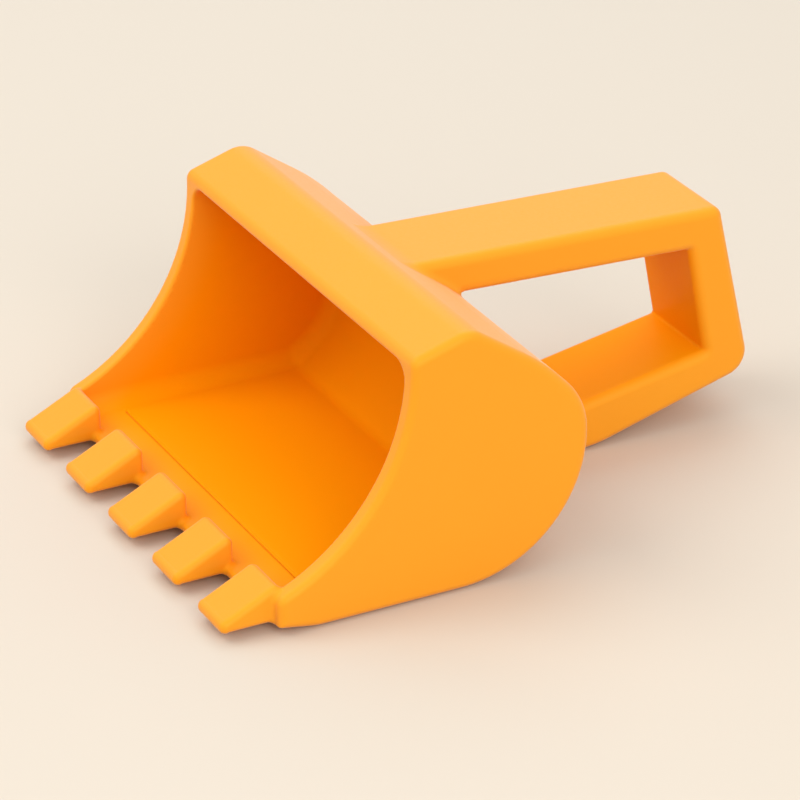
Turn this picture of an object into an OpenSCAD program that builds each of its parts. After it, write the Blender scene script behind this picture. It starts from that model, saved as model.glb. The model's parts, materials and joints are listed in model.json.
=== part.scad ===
// Toy excavator-bucket sand scoop: a wide bucket with a toothed lip and a closed loop handle.
// Axes: X across the bucket, Y from the teeth back to the handle, Z up.
// Origin: on the resting plane, at mid width, under the front edge of the brow.
// Side outlines are lists of [y, z, corner radius], drawn counter-clockwise as seen from +X.

/* [Bucket] */
// Width over the two cheeks
bucket_w = 150; // [130:1:170]
// Thickness of the cheeks and the floor
wall = 5.8; // [4.6:0.2:6.4]
// Thickness of the brow, measured upright
brow_t = 3.2; // [2.6:0.1:4.4]
// Thickness of the back where it is steepest
back_t = 6.9; // [6.3:0.1:7.5]
// Height of the brow's front edge
brow_z = 76.3; // [75:0.1:77.5]
// How far the crest lies behind the brow's front edge
crest_y = 18.9; // [17.5:0.1:20]
// Height at which the crest's two slopes would meet
crest_z = 82.15; // [81.45:0.1:82.85]
// Rounding along the crest
crest_r = 9; // [5:0.5:10]
// Radius of the long curve that falls from the crest
shoulder_r = 75; // [60:1:90]
// How far back the bucket reaches
back_y = 57.1; // [56.5:0.1:58]
// Radius of the round heel, between the back and the floor
heel_r = 41; // [30:0.5:41]
// Radius of the cheeks' concave front edge
cheek_r = 66; // [65:0.5:68]
// Rounding along the cheeks' outer edges
edge_r = 2.6; // [1.5:0.1:3]
// Rounding of the inner corners, where the floor and the back meet the cheeks
corner_r = 5.5; // [3:0.5:6]

/* [Lip and teeth] */
// How far the lip reaches in front of the brow
lip_reach = 42; // [41:0.5:43]
// Depth of the cutting edge strip, from the lip's front back to the crease
strip_d = 15; // [12:0.5:18]
// Rise of the lip's underside at its front
lip_rise = 2.2; // [1:0.1:2.6]
// Distance between the centres of neighbouring teeth
tooth_pitch = 31.1; // [30:0.1:31.3]
// Width of one tooth
tooth_w = 17; // [14:0.5:18]
// Length of a tooth from its rear face to its tip
tooth_l = 20; // [17:0.5:22]
// Height of a tooth's rear edge
tooth_rear_z = 15; // [12:0.5:16]
// Height of a tooth's tip edge
tooth_tip_z = 5.8; // [5.6:0.1:7.5]

/* [Handle] */
// Width of the handle across X
handle_w = 34; // [28:0.5:38]
// Height of the handle's top face at its far end
handle_top_z = 71.7; // [70.5:0.1:72.5]
// How far back the handle's top corner reaches
handle_end_y = 136.2; // [132:0.1:140]
// How much further back the handle's bottom corner reaches
handle_lean = 13; // [10:0.5:15]
// Rounding along the handle's edges
grip_r = 3; // [2:0.25:4]

/* [Hidden] */
plastic = [1.0, 0.62, 0.16];
plastic_dark = [0.93, 0.50, 0.08];
plastic_light = [1.0, 0.72, 0.33];
tooth_count = 5;
curve_step = 6;                      // degrees between the points of a rounded corner
cheek_z = 10.9;                      // height of the cheek's lower front corner
lip_y = -lip_reach;
lip_drop = 0.9;                      // fall of the strip's top from the crease to the lip
brow_slope = (crest_z - brow_z) / crest_y;
inner_back_y = back_y - back_t;
floor_bend_y = inner_back_y - 17.7;   // where the hollow's flat floor ends
crease_y = lip_y + strip_d;
bevel_y = lip_y + 12;                // where the lip's underside starts to rise
tooth_rear_y = lip_y + 2.8;          // rear face of a tooth, standing on the lip
tooth_foot_z = 2.6;                  // underside of a tooth
tooth_r = 1.5;                       // rounding of a tooth's edges
rim_bevel = 1.2;                     // bevel around the opening of the handle
overcut = 1;                         // how far a cutter runs past the surface that it cuts
far = 60;                            // how far the open cavity is carried out of the mouth

// The bucket seen from the side, without its concave cheek line.
body_outline = [
    [bevel_y, 0, 20],
    [back_y, 0, heel_r],
    [back_y, crest_z - 31.15, 23],
    [crest_y + 23.7, crest_z - 16.15, shoulder_r],
    [crest_y, crest_z, crest_r],
    [0, brow_z, 2.2],
    [lip_y, cheek_z, 2],
    [lip_y, lip_rise, 1.2]
];
// The hollow that holds the sand, carried forward out of the mouth.
hollow_outline = [
    [lip_y - far, wall, 0],
    [floor_bend_y, wall, 6],
    [inner_back_y, wall + 12.4, 30],
    [inner_back_y, crest_z - 32.95, 20],
    [crest_y + 19.7, crest_z - 20.15, 75],
    [crest_y - 3.4, under_brow(crest_y - 3.4), 6],
    [-far, under_brow(-far), 0]
];
strip_outline = [
    [bevel_y, 0, 0],
    [crease_y, 0, 0],
    [crease_y, wall, 0],
    [lip_y, wall - lip_drop, 1.2],
    [lip_y, lip_rise, 1.2]
];
tooth_outline = [
    [tooth_rear_y - tooth_l, tooth_foot_z, 0],
    [tooth_rear_y, tooth_foot_z, 0],
    [tooth_rear_y, tooth_rear_z, 0],
    [tooth_rear_y - tooth_l + 0.8, tooth_tip_z, 0]
];

// The handle's closed loop: its outside, run into the bucket, and the opening for the hand.
loop_outline = [
    [35, 0, 0],
    [94, 0, 40],
    [handle_end_y + handle_lean - 0.1, 15.3, 8],
    [handle_end_y, handle_top_z, 3.5],
    [28, handle_top_z + 3.4, 0]
];
opening_outline = [
    [40, 15.4, 0],
    [86, 15.6, 20],
    [handle_end_y - 4, handle_top_z - 47.7, 0.8],
    [handle_end_y - 10.8, handle_top_z - 12.3, 0.8],
    [40, handle_top_z - 9.1, 0]
];

// Height of the brow's underside at y.
function under_brow(y) = brow_z + brow_slope * y - brow_t;
function yz(p) = [p[0], p[1]];
function unit(v) = v / norm(v);
function at(list, i) = list[(i + len(list)) % len(list)];
// Inward normal of the outline's side from a to b.
function side_normal(a, b) = let (u = unit(yz(b) - yz(a))) [-u[1], u[0]];

// The outline moved inward by d, with its convex corners tightened to match.
function inset(outline, d) = [
    for (i = [0:len(outline) - 1])
        let (
            n1 = side_normal(at(outline, i - 1), outline[i]),
            n2 = side_normal(outline[i], at(outline, i + 1)),
            p = yz(outline[i]) + d * (n1 + n2) / (1 + n1 * n2)
        )
        [p[0], p[1], outline[i][2] > 0 ? max(outline[i][2] - d, 0) : 0]
];

// Points of the arc of radius r that rounds the convex corner b between a and c.
function corner_arc(a, b, c, r) =
    let (
        n1 = side_normal(a, b),
        n2 = side_normal(b, c),
        centre = yz(b) + r * (n1 + n2) / (1 + n1 * n2),
        start = atan2(-n1[1], -n1[0]),
        turn = acos(min(n1 * n2, 1)),
        steps = max(ceil(turn / curve_step), 1)
    )
    r < 0.05 ? [yz(b)] : [
        for (k = [0:steps])
            let (angle = start + turn * k / steps) centre + r * [cos(angle), sin(angle)]
    ];

function rounded(outline) = [
    for (i = [0:len(outline) - 1])
        each corner_arc(at(outline, i - 1), outline[i], at(outline, i + 1), outline[i][2])
];

// A side outline made solid across X, from x0 to x1.
module across(outline, x0, x1) {
    translate([x0, 0, 0])
        rotate([90, 0, 90])
            linear_extrude(height = x1 - x0)
                polygon(rounded(outline));
}

// A convex side outline as a bar of width w with all its edges rounded by r.
module soft_bar(outline, w, r) {
    hull()
        for (p = inset(outline, r), side = [-1, 1])
            translate([side * (w / 2 - r), p[0], p[1]])
                sphere(r = r, $fn = 24);
}

// A convex side outline made solid across X to both sides, with the edges at its ends rounded by r.
module softened(outline, half, r) {
    hull()
        for (turn = [0:30:90]) {
            reach = half - r * (1 - sin(turn));
            across(inset(outline, r * (1 - cos(turn))), -reach, reach);
        }
}

// Cuts the concave front edge of both cheeks and bevels its outer corner.
module cheek_line() {
    half = bucket_w / 2;
    translate([0, -cheek_r, cheek_r + 7])
        rotate([0, 90, 0]) {
            cylinder(h = bucket_w + 2 * overcut, r = cheek_r, center = true, $fn = 120);
            for (side = [0, 1])
                mirror([0, 0, side])
                    translate([0, 0, half - edge_r])
                        cylinder(h = edge_r, r1 = cheek_r, r2 = cheek_r + edge_r, $fn = 120);
        }
}

// The place of the cutting edge strip between the cheeks.
module strip_room() {
    translate([-bucket_w / 2 + wall, lip_y - overcut, -overcut])
        cube([bucket_w - 2 * wall, strip_d + overcut, wall + overcut]);
}

module bucket_shell() {
    color(plastic)
        difference() {
            softened(body_outline, bucket_w / 2, edge_r);
            softened(hollow_outline, bucket_w / 2 - wall, corner_r);
            cheek_line();
            strip_room();
        }
}

// Strip of floor between the crease and the lip's rounded front.
module cutting_edge() {
    color(plastic_dark)
        across(strip_outline, -bucket_w / 2 + wall, bucket_w / 2 - wall);
}

// Tooth number i of the row, counted from -X. It straddles the lip's front edge.
module tooth(i) {
    half = bucket_w / 2;
    color(plastic_light)
        difference() {
            translate([(i - (tooth_count + 1) / 2) * tooth_pitch, 0, 0])
                soft_bar(tooth_outline, tooth_w, tooth_r);
            across(strip_outline, -half + wall, half - wall);
            for (side = [0, 1])
                mirror([side, 0, 0])
                    across(body_outline, half - wall, half + overcut);
        }
}

// The hand's opening, widened towards the handle's two sides by a bevel around its rim.
module hand_opening() {
    half = handle_w / 2;
    across(opening_outline, -half - overcut, half + overcut);
    for (side = [0, 1])
        mirror([side, 0, 0])
            hull() {
                across(opening_outline, half - rim_bevel, half - rim_bevel / 2);
                across(inset(opening_outline, -rim_bevel), half, half + overcut);
            }
}

// Closed loop handle: it meets the bucket's back at its top arm and at its root.
module handle() {
    color(plastic)
        difference() {
            softened(loop_outline, handle_w / 2, grip_r);
            hand_opening();
            across(body_outline, -handle_w, handle_w);
        }
}

bucket_shell();
cutting_edge();
tooth(1);  // tooth_1
tooth(2);  // tooth_2
tooth(3);  // tooth_3
tooth(4);  // tooth_4
tooth(5);  // tooth_5
handle();
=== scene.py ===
# Looks of the excavator-bucket sand scoop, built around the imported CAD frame.
# The visible surface is one signed-distance form in millimetres: every corner is rounded and every
# joint between two sub-parts is filleted. It is meshed once, then divided into the CAD's sub-parts.
import json
import math

import bpy
import numpy as np
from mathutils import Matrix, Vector

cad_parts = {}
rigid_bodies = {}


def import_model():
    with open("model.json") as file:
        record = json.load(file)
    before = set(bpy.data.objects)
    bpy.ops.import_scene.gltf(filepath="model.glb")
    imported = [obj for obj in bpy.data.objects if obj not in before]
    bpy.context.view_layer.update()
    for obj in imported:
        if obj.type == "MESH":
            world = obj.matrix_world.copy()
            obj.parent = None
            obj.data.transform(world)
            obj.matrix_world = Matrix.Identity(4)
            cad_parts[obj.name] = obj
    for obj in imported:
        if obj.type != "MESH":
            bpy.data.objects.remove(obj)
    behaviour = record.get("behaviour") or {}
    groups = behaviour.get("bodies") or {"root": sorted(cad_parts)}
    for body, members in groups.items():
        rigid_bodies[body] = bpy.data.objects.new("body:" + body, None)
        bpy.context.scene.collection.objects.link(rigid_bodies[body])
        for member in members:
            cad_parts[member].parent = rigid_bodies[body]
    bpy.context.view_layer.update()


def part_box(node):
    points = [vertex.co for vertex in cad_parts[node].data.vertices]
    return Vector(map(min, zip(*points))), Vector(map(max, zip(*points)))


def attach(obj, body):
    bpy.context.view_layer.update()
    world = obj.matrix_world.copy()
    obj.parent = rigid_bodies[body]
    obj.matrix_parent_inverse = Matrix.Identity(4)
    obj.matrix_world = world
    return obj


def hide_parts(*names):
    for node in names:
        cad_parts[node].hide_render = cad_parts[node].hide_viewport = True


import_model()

MM = 0.001
FLOOR_GAP = 0.0003                     # metres between the resting plane and the floor
SHARP_R = 0.05                         # a corner with a smaller radius is left sharp
NOWHERE = 1e9                          # a distance beyond everything
TINY = 1e-9                            # keeps divisions and comparisons safe
TEETH = [f"tooth_{i}" for i in range(1, 6)]


def cad_box(node):
    """Lowest and highest corner of a CAD node, in millimetres."""
    low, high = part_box(node)
    return np.array(low) / MM, np.array(high) / MM


# ---- Places read from the CAD frame, in millimetres ----
_, SHELL_HIGH = cad_box("bucket_shell")
STRIP_LOW, STRIP_HIGH = cad_box("cutting_edge")
_, HANDLE_HIGH = cad_box("handle")
TOOTH_BOXES = [cad_box(name) for name in TEETH]

HALF_WIDTH = SHELL_HIGH[0]
BACK_Y = SHELL_HIGH[1]
CREST_TOP = SHELL_HIGH[2]
LIP_Y = STRIP_LOW[1]
CREASE_Y = STRIP_HIGH[1]
STRIP_D = CREASE_Y - LIP_Y
INNER_HALF = STRIP_HIGH[0]
WALL = HALF_WIDTH - INNER_HALF
HANDLE_HALF = HANDLE_HIGH[0]
HANDLE_END = HANDLE_HIGH[1]
TOOTH_FRONT = TOOTH_BOXES[0][0][1]
TOOTH_HALF = (TOOTH_BOXES[2][1][0] - TOOTH_BOXES[2][0][0]) / 2
TOOTH_CENTRES = [(low[0] + high[0]) / 2 for low, high in TOOTH_BOXES]

# ---- Shape of the bucket, in millimetres ----
CREST_Y = 18.9                         # ridge where the brow's top face turns down to the back
CREST_R = 9.0                          # rounding of that ridge
CREST_SLOPE = math.radians(17.2)       # fall of the brow's top face towards the mouth
BROW_Z = 76.3                          # front edge of the brow
BROW_T = 3.2                           # thickness of the brow's plate, measured upright
UNDER_CREST_Y = CREST_Y - 3.4          # inside of the crest
INNER_BACK_Y = BACK_Y - 6.9            # inside of the back where it is steepest
MOUTH_R = 66.0                         # concave front edge of the cheeks
MOUTH_Z = 73.0                         # height of the middle of that edge's arc
LIP_RISE = 2.2                         # underside of the lip at its front
BEVEL_DEPTH = 12.0                     # depth over which that underside rises
LIP_DROP = 0.9                         # fall of the strip's top from the crease to the lip
EDGE_R = 2.6                           # outer edges of the bucket
RIM_R = 2.2                            # outer edge around the mouth
MOUTH_EDGE_R = 1.0                     # inner edges of the mouth and the lip
CORNER_R = 5.5                         # inner corners of the hollow
CREASE_R = 0.5                         # fine groove behind the cutting edge
CREASE_GAP = 7.0                       # how far the groove stops short of the cheeks
FAR = 60.0                             # how far the hollow runs out of the mouth

# ---- Shape of the teeth and the handle, in millimetres ----
TOOTH_BACK = LIP_Y + 2.8               # rear face of a tooth, standing on the lip
TOOTH_FOOT_Z = 2.6                     # underside of a tooth
TOOTH_REAR_Z = 15.0                    # rear edge of a tooth's top
TOOTH_TIP_Z = 5.8                      # tip edge of a tooth's top
TIP_LEAN = 0.8                         # how far that edge lies behind the tooth's foot
TOOTH_R = 2.0                          # edges of a tooth
TOOTH_FILLET = 1.6                     # where a tooth meets the lip
HANDLE_TOP = 71.7                      # top face of the handle at its far end
HANDLE_BACK = 136.2                    # how far back that top face reaches
HANDLE_R = 3.0                         # edges of the handle
OPENING_END = 127.0                    # far end of the hand opening
OPENING_ENDS_Z = (27.0, 59.0)          # lower and upper corner at that end
HANDLE_FILLET = 2.0                    # where the handle meets the back

# ---- Seams between the pieces, in millimetres ----
OUTSIDE = (-80.0, 170.0, -6.0, 95.0)   # a frame around the whole scoop: y, y, z, z
SEAT_DEPTH = 0.8                       # how deep an outer tooth's seat goes into the cheek
SEAT_MARGIN = 0.4                      # how far a tooth's seam lies outside its fillet
SEAT_LEAD = 1.2                        # how far that seam starts in front of the lip
SEAT_LOW, SEAT_HIGH = 1.0, 3.4         # height of that seam at its front and at its rear
CHEEK_BITE = 0.9                       # how far an outer tooth's seam cuts back into the cheek
CHEEK_SKIN = 1.6                       # what that cut leaves of the cheek's outer side
CHEEK_LAP = 5.0                        # how far that cut laps over the tooth's own space
STRIP_INSET = 1.7                      # how far the strip's seam stays clear of the cheeks
STRIP_CLEAR = 4.5                      # how far that seam reaches above the floor and its fillets
HANDLE_COLLAR = 1.0                    # how far the handle's seam lies behind the back
HANDLE_ROOM_Y = 12.0                   # where the handle's space starts, inside the bucket
HANDLE_ROOM_X = 26.0                   # half width of that space
OVERCUT = 4.0                          # how far a cutter runs past what it cuts

# ---- Mesh spacing, in millimetres ----
FINE, COARSE, REACH = ((0.6, 1.5, 7.0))
GRID_MARGIN = 2.5                      # how far the grid runs past the scoop
NEWTON_STEPS = 4                       # moves that bring the vertices onto the surface
SKIN_GAP = 0.12                        # how close to the surface the middle of a skin face lies
SKIN_ALIGNED = 0.5                     # least cosine between a skin face and the surface below it

# ---- Looks ----
HOLLOW_FADE = 12.0                     # millimetres behind the mouth to where the painted shade is full
OPENING_FADE = 3.0                     # the same, from the handle's sides into the hand opening
PALE_ORANGE = (0.855, 0.306, 0.014, 1.0)
PALE_ORANGE_2 = (0.855, 0.318, 0.014, 1.0)
# painted shade: a deeper, more saturated orange laid on the hollow and the hand opening
PAINTED_SHADE_ORANGE = (0.880, 0.300, 0.001, 1.0)
SAND_WHITE = (0.62, 0.54, 0.44, 1.0)
SKY = (0.93, 0.96, 1.0, 1.0)
SKY_LOW, SKY_HIGH = 0.72, 1.05         # strength of the surroundings near the horizon and overhead
LIGHTS_AIM = (0.0, 0.04, 0.03)
LIGHTS = [                             # name, place, size, power, colour
    ("key", (-0.35, -0.75, 1.05), 1.1, 7.3, (1.0, 0.99, 0.97)),
    ("fill", (1.3, -0.1, 0.7), 1.0, 10.0, (1.0, 0.99, 0.97)),
    ("back", (-0.70, 0.50, 1.05), 1.1, 4.0, (0.86, 0.92, 1.0)),
]
CAMERA_PLACE = Vector((0.9534, -0.4649, 0.5713))
CAMERA_LOOK = Vector((-0.7891, 0.4138, -0.4539))
CAMERA_LENS = 181.1
FLOOR_REACH = 4.0                      # metres from the middle of the floor to its sides


# ---------------------------------------------------------------- side outlines
def unit(v):
    return v / np.linalg.norm(v)


class Outline:
    """A closed side outline made of straight runs and corner arcs, with its exact signed distance.

    Corners are (y, z, radius), counter-clockwise as seen from +X. A corner may turn either way."""

    def __init__(self, corners):
        points = [np.array(c[:2], float) for c in corners]
        count = len(corners)
        self.arcs = []
        ends = []
        for i, corner in enumerate(corners):
            before = unit(points[i - 1] - points[i])
            after = unit(points[(i + 1) % count] - points[i])
            radius = corner[2]
            half = math.acos(np.clip(before @ after, -1, 1)) / 2
            straight_on = abs(half - math.pi / 2) < 1e-4
            if radius < SHARP_R or straight_on:
                ends.append((points[i], points[i]))
                continue
            run = radius / math.tan(half)
            centre = points[i] + unit(before + after) * radius / math.sin(half)
            start = points[i] + before * run
            end = points[i] + after * run
            ends.append((start, end))
            self.arcs.append((centre, radius, points[i] - centre, math.pi / 2 - half))
        self.runs = [(ends[i][1], ends[(i + 1) % count][0]) for i in range(count)]
        self.path = self._polyline(ends)

    def _polyline(self, ends):
        """The outline as points 3 degrees apart on its arcs, used only to tell inside from outside."""
        path = []
        arcs = iter(self.arcs)
        for start, end in ends:
            if start is end:
                path.append(start)
                continue
            centre, radius, _, sweep = next(arcs)
            first = math.atan2(*(start - centre)[::-1])
            turn = math.atan2(*(end - centre)[::-1]) - first
            turn = (turn + math.pi) % (2 * math.pi) - math.pi
            steps = max(2, int(abs(turn) / math.radians(3)))
            for k in range(steps + 1):
                angle = first + turn * k / steps
                path.append(centre + radius * np.array([math.cos(angle), math.sin(angle)]))
        return path

    def distance(self, y, z):
        best = np.full(y.shape, NOWHERE)
        for start, end in self.runs:
            along = end - start
            length2 = along @ along
            if length2 < TINY:
                continue
            t = np.clip(((y - start[0]) * along[0] + (z - start[1]) * along[1]) / length2, 0, 1)
            gap = np.hypot(y - start[0] - t * along[0], z - start[1] - t * along[1])
            best = np.minimum(best, gap)
        edge = best.copy()
        for centre, radius, aim, half_sweep in self.arcs:
            dy, dz = y - centre[0], z - centre[1]
            reach = np.hypot(dy, dz)
            along_aim = dy * aim[0] + dz * aim[1]
            in_sweep = along_aim >= math.cos(half_sweep) * reach * np.hypot(*aim) - TINY
            gap = np.where(in_sweep, np.abs(reach - radius), NOWHERE)
            best = np.minimum(best, gap)
        return np.where(self.contains(y, z), -best, best)

    def contains(self, y, z):
        inside = np.zeros(y.shape, bool)
        previous = self.path[-1]
        for point in self.path:
            if previous[1] != point[1]:
                crosses = (previous[1] > z) != (point[1] > z)
                slant = (point[0] - previous[0]) / (point[1] - previous[1])
                inside ^= crosses & (y < previous[0] + (z - previous[1]) * slant)
            previous = point
        return inside


def meet(r, *parts):
    """Intersection with its edges rounded by r."""
    raised = [p + r for p in parts]
    top = raised[0]
    for p in raised[1:]:
        top = np.maximum(top, p)
    total = sum(np.maximum(p, 0) ** 2 for p in raised)
    return np.minimum(top, 0) + np.sqrt(total) - r


def join(r, a, b):
    """Union with a fillet of radius r."""
    return np.maximum(r, np.minimum(a, b)) - np.hypot(np.maximum(r - a, 0), np.maximum(r - b, 0))


# ---------------------------------------------------------------- the form
def slope_z(y):
    """Height of the brow's top plane at y."""
    return BROW_Z + y * math.tan(CREST_SLOPE)


BODY = Outline([
    (LIP_Y + BEVEL_DEPTH, 0, 20),
    (BACK_Y, 0, 41),
    (BACK_Y, 51.0, 23),
    (42.6, 66.0, 75),
    (CREST_Y, slope_z(CREST_Y), CREST_R),
    (LIP_Y, slope_z(LIP_Y), 0),
    (LIP_Y, LIP_RISE, 1.2),
])

HOLLOW = Outline([
    (LIP_Y - FAR, WALL - LIP_DROP * (FAR + STRIP_D) / STRIP_D, 0),
    (CREASE_Y, WALL, 0),
    (32.5, WALL, 6),
    (INNER_BACK_Y, WALL + 12.4, 30),
    (INNER_BACK_Y, 49.2, 20),
    (38.6, 62.0, 75),
    (UNDER_CREST_Y, slope_z(UNDER_CREST_Y) - BROW_T, 6),
    (-FAR, slope_z(-FAR) - BROW_T, 0),
])


def shrink(corners, r):
    """Sharp convex corners moved inward by r, so that growing by r gives back the same sides."""
    points = [np.array(c, float) for c in corners]
    moved = []
    for i, p in enumerate(points):
        a = unit(p - points[i - 1])
        b = unit(points[(i + 1) % len(points)] - p)
        n1, n2 = np.array([-a[1], a[0]]), np.array([-b[1], b[0]])
        q = p + r * (n1 + n2) / (1 + n1 @ n2)
        moved.append((q[0], q[1], 0))
    return moved


TOOTH_CORE = Outline(shrink([
    (TOOTH_FRONT, TOOTH_FOOT_Z),
    (TOOTH_BACK, TOOTH_FOOT_Z),
    (TOOTH_BACK, TOOTH_REAR_Z),
    (TOOTH_FRONT + TIP_LEAN, TOOTH_TIP_Z),
], TOOTH_R))

RING = Outline([
    (14, 0, 0),
    (94, 0, 40),
    (HANDLE_BACK + 12.9, 15.3, 8),
    (HANDLE_BACK, HANDLE_TOP, 3.5),
    (28, HANDLE_TOP + 3.4, 0),
    (14, 60, 0),
])
RING_HOLE = Outline([
    (40, 15.4, 0),
    (86, 15.6, 20),
    (HANDLE_BACK - 4.0, HANDLE_TOP - 47.7, 0.8),
    (HANDLE_BACK - 10.8, HANDLE_TOP - 12.3, 0.8),
    (40, HANDLE_TOP - 9.1, 0),
])


def bucket_outer(x, y, z):
    """The bucket as a solid block, cut to the concave line of its cheeks."""
    mouth = MOUTH_R - np.hypot(y + MOUTH_R, z - MOUTH_Z)
    return meet(RIM_R, meet(EDGE_R, BODY.distance(y, z), np.abs(x) - HALF_WIDTH), mouth)


def hollow(x, y, z):
    """The room for the sand, with the fine groove behind the cutting edge."""
    past_end = np.maximum(np.abs(x) - (INNER_HALF - CREASE_GAP), 0)
    groove = np.sqrt((y - CREASE_Y) ** 2 + (z - WALL) ** 2 + past_end ** 2) - CREASE_R
    side = np.minimum(HOLLOW.distance(y, z), groove)
    return meet(CORNER_R, side, np.abs(x) - INNER_HALF)


def handle_form(x, y, z):
    """The closed loop, with its rear inside the bucket."""
    ring = np.maximum(RING.distance(y, z), -RING_HOLE.distance(y, z))
    return meet(HANDLE_R, ring, np.abs(x) - HANDLE_HALF)


def tooth_form(x, y, z, centre):
    side = TOOTH_CORE.distance(y, z)
    across = np.abs(x - centre) - (TOOTH_HALF - TOOTH_R)
    outside = np.hypot(np.maximum(side, 0), np.maximum(across, 0))
    return outside + np.minimum(np.maximum(side, across), 0) - TOOTH_R


def teeth_form(x, y, z):
    best = np.full(np.broadcast(x, y).shape, NOWHERE)
    for centre in TOOTH_CENTRES:
        best = np.minimum(best, tooth_form(x, y, z, centre))
    return best


def form(x, y, z):
    """Signed distance of the whole scoop: negative inside the plastic."""
    solid = join(HANDLE_FILLET, bucket_outer(x, y, z), handle_form(x, y, z))
    solid = meet(MOUTH_EDGE_R, solid, -hollow(x, y, z))
    solid = join(TOOTH_FILLET, solid, teeth_form(x, y, z))
    return np.maximum(solid, -z)


def painted_shade_amount(x, y, z):
    """How much painted shade a place on the surface gets: 0 in the open, 1 in the hollow or the hand
    opening.

    A place counts as in the hollow or the opening within 1 mm of its wall, and fades out at 2 mm."""
    in_hollow = np.clip(2 - np.abs(hollow(x, y, z)), 0, 1)
    behind_mouth = (np.hypot(y + MOUTH_R, z - MOUTH_Z) - MOUTH_R) / HOLLOW_FADE
    in_opening = np.clip(2 - np.abs(RING_HOLE.distance(y, z)), 0, 1)
    from_side = (HANDLE_HALF - np.abs(x)) / OPENING_FADE
    return np.maximum(in_hollow * np.clip(behind_mouth, 0, 1), in_opening * np.clip(from_side, 0, 1))


def gradient(p, step=0.08):
    """Outward unit normals of the form at points p."""
    g = np.empty_like(p)
    for axis in range(3):
        move = np.zeros(3)
        move[axis] = step
        g[:, axis] = form(*(p + move).T) - form(*(p - move).T)
    return g / np.maximum(np.linalg.norm(g, axis=1, keepdims=True), TINY)


# ---------------------------------------------------------------- meshing
def graded(low, high, features):
    """Grid lines from low to high: fine near the features, coarse from REACH away on."""
    lines = [low]
    features = np.array(features)
    while lines[-1] < high:
        nearest = np.min(np.abs(features - lines[-1] - FINE / 2)) / REACH
        t = min(max(nearest * 1.6 - 0.6, 0.0), 1.0)
        ease = t * t * (3 - 2 * t)
        lines.append(lines[-1] + FINE + (COARSE - FINE) * ease)
    return np.array(lines)


def crossings(value, axes, axis):
    """Where the surface crosses the grid lines along one axis, and the four cells around each place."""
    low = [slice(None)] * 3
    high = [slice(None)] * 3
    low[axis], high[axis] = slice(0, -1), slice(1, None)
    before, after = value[tuple(low)], value[tuple(high)]
    index = np.argwhere((before < 0) != (after < 0))
    start, end = before[tuple(index.T)], after[tuple(index.T)]
    place = np.stack([axes[k][index[:, k]] for k in range(3)], 1)
    length = axes[axis][index[:, axis] + 1] - axes[axis][index[:, axis]]
    place[:, axis] += start / (start - end) * length
    u, v = [k for k in range(3) if k != axis]
    cells = []
    for du, dv in ((0, 0), (-1, 0), (-1, -1), (0, -1)):
        cell = index.copy()
        cell[:, u] += du
        cell[:, v] += dv
        cells.append(cell)
    flip = (start < 0) == (axis == 1)
    return place, cells, flip


def surface_net(axes):
    """Quads of the form's zero surface on a rectilinear grid, with their vertices on the surface."""
    x, y, z = np.meshgrid(*axes, indexing="ij", sparse=True)
    value = form(x, *np.broadcast_arrays(y, z))
    cell_shape = tuple(size - 1 for size in value.shape)
    cell_id = np.arange(np.prod(cell_shape)).reshape(cell_shape)
    total = np.zeros(cell_shape + (3,))
    hits = np.zeros(cell_shape)
    quads = []
    for axis in range(3):
        place, cells, flip = crossings(value, axes, axis)
        for cell in cells:
            np.add.at(total, tuple(cell.T), place)
            np.add.at(hits, tuple(cell.T), 1)
        ring = np.stack([cell_id[tuple(cell.T)] for cell in cells], 1)
        ring[flip] = ring[flip][:, ::-1]
        quads.append(ring)
    _, quads = np.unique(np.concatenate(quads), return_inverse=True)
    points = total[hits > 0] / hits[hits > 0][:, None]
    for _ in range(NEWTON_STEPS):
        points = points - gradient(points) * form(*points.T)[:, None]
    return points, quads.reshape(-1, 4)


def mesh_object(name, points, faces):
    mesh = bpy.data.meshes.new(name)
    mesh.vertices.add(len(points))
    mesh.vertices.foreach_set("co", (points * MM).astype(np.float32).ravel())
    mesh.loops.add(faces.size)
    mesh.loops.foreach_set("vertex_index", faces.astype(np.int32).ravel())
    mesh.polygons.add(len(faces))
    mesh.polygons.foreach_set("loop_start", np.arange(0, faces.size, faces.shape[1], dtype=np.int32))
    mesh.update(calc_edges=True)
    mesh.validate()
    obj = bpy.data.objects.new(name, mesh)
    bpy.context.scene.collection.objects.link(obj)
    return obj


def prism(name, outline, x0, x1):
    """A cutter: a side outline of plain (y, z) points made solid from x0 to x1."""
    count = len(outline)
    mesh = bpy.data.meshes.new(name)
    corners = [(x * MM, y * MM, z * MM) for x in (x0, x1) for y, z in outline]
    faces = [list(range(count))[::-1], list(range(count, 2 * count))]
    faces += [[i, (i + 1) % count, (i + 1) % count + count, i + count] for i in range(count)]
    mesh.from_pydata(corners, [], faces)
    mesh.update()
    obj = bpy.data.objects.new(name, mesh)
    bpy.context.scene.collection.objects.link(obj)
    return obj


def cut(obj, operation, cutter):
    """A new object: obj combined with the cutter."""
    result = obj.copy()
    bpy.context.scene.collection.objects.link(result)
    modifier = result.modifiers.new("cut", "BOOLEAN")
    modifier.operation = operation
    modifier.solver = "MANIFOLD"
    modifier.object = cutter
    depsgraph = bpy.context.evaluated_depsgraph_get()
    mesh = bpy.data.meshes.new_from_object(result.evaluated_get(depsgraph))
    result.modifiers.clear()
    result.data = mesh
    return result


def grown_body(distance):
    """Corners of the bucket's side outline grown by a distance, as plain points."""
    path = BODY.path
    points = []
    for i, p in enumerate(path):
        a = p - path[i - 1]
        b = path[(i + 1) % len(path)] - p
        if np.hypot(*a) < 1e-6 or np.hypot(*b) < 1e-6:
            continue
        n1 = unit(np.array([a[1], -a[0]]))
        n2 = unit(np.array([b[1], -b[0]]))
        q = p + distance * (n1 + n2) / (1 + n1 @ n2)
        points.append((q[0], q[1]))
    return points


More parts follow.
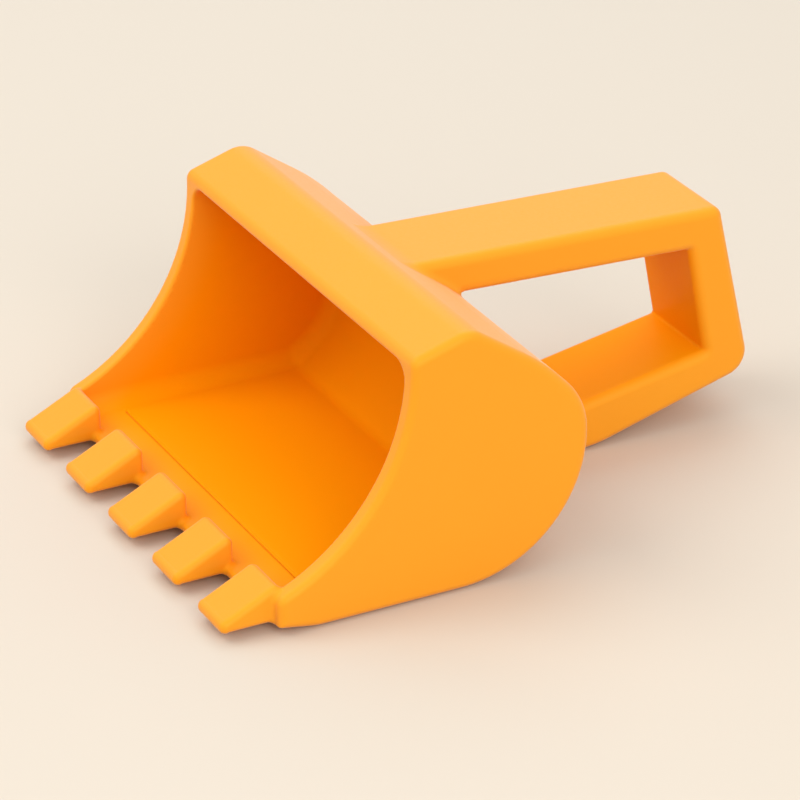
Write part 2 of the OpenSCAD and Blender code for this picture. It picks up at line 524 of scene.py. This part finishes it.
def slab(y0, y1, z0, z1):
    """Corners of a plain rectangle, seen from the side."""
    return [(y0, z0), (y1, z0), (y1, z1), (y0, z1)]


def tooth_cutter(centre):
    """The space of one tooth with its fillet, over the lip and in front of it."""
    front, _, floor, _ = OUTSIDE
    margin = TOOTH_FILLET + SEAT_MARGIN
    start, rear, top = LIP_Y - SEAT_LEAD, TOOTH_BACK + margin, TOOTH_REAR_Z * 2
    seat = [(front, floor), (start, floor), (start, SEAT_LOW), (rear, SEAT_HIGH), (rear, top),
            (front, top)]
    reach = TOOTH_HALF + margin
    limit = INNER_HALF + SEAT_DEPTH
    cutter = prism("cutter", seat, max(centre - reach, -limit), min(centre + reach, limit))
    if abs(centre) + reach < limit:
        return cutter
    side = math.copysign(1, centre)
    ends = sorted((side * (INNER_HALF - CHEEK_LAP), side * (HALF_WIDTH - CHEEK_SKIN)))
    return cut(cutter, "UNION", prism("cutter", slab(front, LIP_Y + CHEEK_BITE, floor, top), *ends))


def strip_cutter():
    """The space of the cutting edge strip, from its crease forward."""
    front, _, floor, _ = OUTSIDE
    half = INNER_HALF - STRIP_INSET
    return prism("cutter", slab(front, CREASE_Y, floor, WALL + STRIP_CLEAR), -half, half)


def handle_cutter():
    """The space behind the bucket, down to a thin collar left on its back."""
    _, far_end, floor, top = OUTSIDE
    room = slab(HANDLE_ROOM_Y, far_end, floor, top)
    behind = prism("cutter", room, -HANDLE_ROOM_X, HANDLE_ROOM_X)
    reach = HANDLE_ROOM_X + OVERCUT
    return cut(behind, "DIFFERENCE", prism("cutter", grown_body(HANDLE_COLLAR), -reach, reach))


def divide(whole):
    """The whole form divided into one object per CAD node, along the seams of the sub-parts."""
    cutters = {name: tooth_cutter(centre) for name, centre in zip(TEETH, TOOTH_CENTRES)}
    cutters["cutting_edge"] = strip_cutter()
    cutters["handle"] = handle_cutter()
    pieces = {}
    rest = whole
    for name, cutter in cutters.items():
        pieces[name] = cut(rest, "INTERSECT", cutter)
        rest = cut(rest, "DIFFERENCE", cutter)
    pieces["bucket_shell"] = rest
    return pieces


def read(collection, attribute, width, kind=np.float32):
    """A mesh attribute as an array, one row an element."""
    values = np.empty(len(collection) * width, kind)
    collection.foreach_get(attribute, values)
    return values.reshape(-1, width)


def finish_surface(obj):
    """Smooth normals of the form on the skin, flat ones on the seams, and the amount of painted shade
    at each vertex.
    """
    mesh = obj.data
    points = read(mesh.vertices, "co", 3).astype(float) / MM
    centres = read(mesh.polygons, "center", 3).astype(float) / MM
    flat = read(mesh.polygons, "normal", 3)
    vertex = read(mesh.loops, "vertex_index", 1, np.int32)[:, 0]
    sizes = read(mesh.polygons, "loop_total", 1, np.int32)[:, 0]
    owner = np.repeat(np.arange(len(sizes)), sizes)
    on_surface = np.abs(form(*centres.T)) < SKIN_GAP
    same_way = np.einsum("ij,ij->i", gradient(centres), flat) > SKIN_ALIGNED
    skin = on_surface & same_way
    normals = np.where(skin[owner][:, None], gradient(points)[vertex], flat[owner])
    mesh.polygons.foreach_set("use_smooth", np.ones(len(sizes), bool))
    mesh.normals_split_custom_set(normals.tolist())
    # painted shade: how much deeper orange and lost gloss each vertex gets
    mesh.attributes.new("painted_shade_amount", "FLOAT", "POINT").data.foreach_set("value", painted_shade_amount(*points.T))
    mesh.update()


# ---------------------------------------------------------------- material
class Nodes:
    """Small helper to add and link shader nodes."""

    def __init__(self, material):
        material.use_nodes = True
        self.tree = material.node_tree
        self.tree.nodes.clear()

    def add(self, kind, inputs=None, **settings):
        node = self.tree.nodes.new(kind)
        for key, value in settings.items():
            setattr(node, key, value)
        for key, value in (inputs or {}).items():
            socket = node.inputs[key]
            if isinstance(value, bpy.types.NodeSocket):
                self.tree.links.new(value, socket)
            else:
                socket.default_value = value
        return node

    def mix(self, factor, first, second):
        """A colour between two colours, each a plain colour or a socket.

        The colour sockets of a mix node share their names with others, so they are taken by place."""
        node = self.add("ShaderNodeMix", {"Factor": factor}, data_type="RGBA")
        for socket, colour in ((node.inputs[6], first), (node.inputs[7], second)):
            if isinstance(colour, bpy.types.NodeSocket):
                self.tree.links.new(colour, socket)
            else:
                socket.default_value = colour
        return node.outputs[2]

    def span(self, value, low, high, to_low, to_high):
        """A value between low and high, moved to between to_low and to_high."""
        return self.add("ShaderNodeMapRange", {
            "Value": value, "From Min": low, "From Max": high, "To Min": to_low, "To Max": to_high,
        }).outputs["Result"]


def orange_plastic():
    """Satin orange plastic, coloured through, with a fine grain; in the hollow and the hand opening a
    painted shade: a deeper orange, with the gloss and sheen faded out.
    """
    material = bpy.data.materials.new("orange_plastic")
    n = Nodes(material)
    place = n.add("ShaderNodeTexCoord").outputs["Object"]
    broad = n.add("ShaderNodeTexNoise", {"Vector": place, "Scale": 22.0, "Detail": 3.0})
    grain = n.add("ShaderNodeTexNoise", {
        "Vector": place, "Scale": 900.0, "Detail": 4.0, "Roughness": 0.6,
    }).outputs["Fac"]
    # painted shade mask: 1 in the hollow and the hand opening, 0 in the open
    painted_shade_mask = n.add("ShaderNodeAttribute", attribute_name="painted_shade_amount").outputs["Fac"]
    pale = n.mix(broad.outputs["Fac"], PALE_ORANGE, PALE_ORANGE_2)
    surface = n.add("ShaderNodeBsdfPrincipled", {
        # painted shade: the hollow and the hand opening get the deeper orange
        "Base Color": n.mix(painted_shade_mask, pale, PAINTED_SHADE_ORANGE),
        "Roughness": n.span(grain, 0.3, 0.7, 0.44, 0.52),
        "IOR": 1.46,
        # painted shade: gloss and sheen fade out where the mask is 1
        "Specular IOR Level": n.span(painted_shade_mask, 0.0, 1.0, 0.5, 0.05),
        "Specular Tint": (1.0, 0.6, 0.25, 1.0),
        "Sheen Weight": n.span(painted_shade_mask, 0.0, 1.0, 0.30, 0.0),
        "Sheen Roughness": 0.35,
        "Sheen Tint": (1.0, 0.78, 0.74, 1.0),
        "Normal": n.add("ShaderNodeBump", {
            "Strength": 0.06, "Distance": 0.0002, "Height": grain,
        }).outputs["Normal"],
    })
    n.add("ShaderNodeOutputMaterial", {"Surface": surface.outputs["BSDF"]})
    return material


def floor_material():
    material = bpy.data.materials.new("floor")
    n = Nodes(material)
    surface = n.add("ShaderNodeBsdfPrincipled", {"Base Color": SAND_WHITE, "Roughness": 0.9})
    n.add("ShaderNodeOutputMaterial", {"Surface": surface.outputs["BSDF"]})
    return material


# ---------------------------------------------------------------- build
def grid_lines():
    """Grid lines along X, Y and Z, fine where the form has its edges."""
    features_x = [side * x for side in (-1, 1) for x in (HALF_WIDTH, INNER_HALF, HANDLE_HALF - 1.5)]
    features_x += [centre + side * TOOTH_HALF for side in (-1, 1) for centre in TOOTH_CENTRES]
    features_y = [TOOTH_FRONT, LIP_Y, TOOTH_BACK, 0, CREST_Y, OPENING_END, HANDLE_BACK,
                  HANDLE_END - 2]
    features_z = [0, 3, 6, 15, *OPENING_ENDS_Z, HANDLE_TOP, BROW_Z, CREST_TOP + 0.7]
    gx = graded(-HALF_WIDTH - GRID_MARGIN, HALF_WIDTH + GRID_MARGIN, features_x)
    gy = graded(TOOTH_FRONT - GRID_MARGIN, HANDLE_END + GRID_MARGIN, features_y)
    groove = CREASE_Y + CREASE_R * np.array([-1.2, -0.5, 0.0, 0.5, 1.2])
    gz = graded(-GRID_MARGIN, CREST_TOP + GRID_MARGIN, features_z)
    return gx, np.sort(np.append(gy, groove)), gz


def build_scoop():
    whole = mesh_object("whole", *surface_net(grid_lines()))
    pieces = divide(whole)
    plastic = orange_plastic()
    for name, obj in pieces.items():
        obj.name = name + "_skin"
        obj.data.name = obj.name
        finish_surface(obj)
        obj.data.materials.clear()
        obj.data.materials.append(plastic)
        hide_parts(name)
        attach(obj, "root")
    for obj in list(bpy.context.scene.objects):
        if obj.name.startswith(("cutter", "whole")):
            bpy.data.objects.remove(obj)


def aim(obj, place, target):
    direction = Vector(target) - Vector(place)
    obj.location = place
    obj.rotation_mode = "QUATERNION"
    obj.rotation_quaternion = direction.to_track_quat("-Z", "Y")


def area_light(name, place, size, power, colour):
    data = bpy.data.lights.new(name, "AREA")
    data.shape = "DISK"
    data.size = size
    data.energy = power
    data.color = colour
    light = bpy.data.objects.new(name, data)
    bpy.context.scene.collection.objects.link(light)
    aim(light, place, LIGHTS_AIM)


def build_floor():
    mesh = bpy.data.meshes.new("floor")
    far = FLOOR_REACH
    corners = [(-far, -far, 0), (far, -far, 0), (far, far, 0), (-far, far, 0)]
    mesh.from_pydata(corners, [], [(0, 1, 2, 3)])
    floor = bpy.data.objects.new("floor", mesh)
    floor.location.z = -FLOOR_GAP
    bpy.context.scene.collection.objects.link(floor)
    floor.data.materials.append(floor_material())


def build_world():
    """Soft white surroundings, a little dimmer towards the horizon."""
    world = bpy.data.worlds.new("studio")
    bpy.context.scene.world = world
    world.use_nodes = True
    tree = world.node_tree
    background = tree.nodes["Background"]
    background.inputs["Color"].default_value = SKY
    direction = tree.nodes.new("ShaderNodeTexCoord")
    height = tree.nodes.new("ShaderNodeSeparateXYZ")
    glow = tree.nodes.new("ShaderNodeMapRange")
    glow.inputs["From Min"].default_value = 0.1
    glow.inputs["From Max"].default_value = 0.9
    glow.inputs["To Min"].default_value = SKY_LOW
    glow.inputs["To Max"].default_value = SKY_HIGH
    tree.links.new(direction.outputs["Generated"], height.inputs["Vector"])
    tree.links.new(height.outputs["Z"], glow.inputs["Value"])
    tree.links.new(glow.outputs["Result"], background.inputs["Strength"])


def build_lights():
    for name, place, size, power, colour in LIGHTS:
        area_light(name, place, size, power, colour)


def build_camera():
    data = bpy.data.cameras.new("camera")
    data.sensor_width = 36.0
    data.lens = CAMERA_LENS
    data.clip_start = 0.05
    camera = bpy.data.objects.new("camera", data)
    bpy.context.scene.collection.objects.link(camera)
    aim(camera, CAMERA_PLACE, CAMERA_PLACE + CAMERA_LOOK)
    bpy.context.scene.camera = camera


build_scoop()
build_floor()
build_world()
build_lights()
build_camera()
bpy.context.scene.view_settings.view_transform = "Standard"
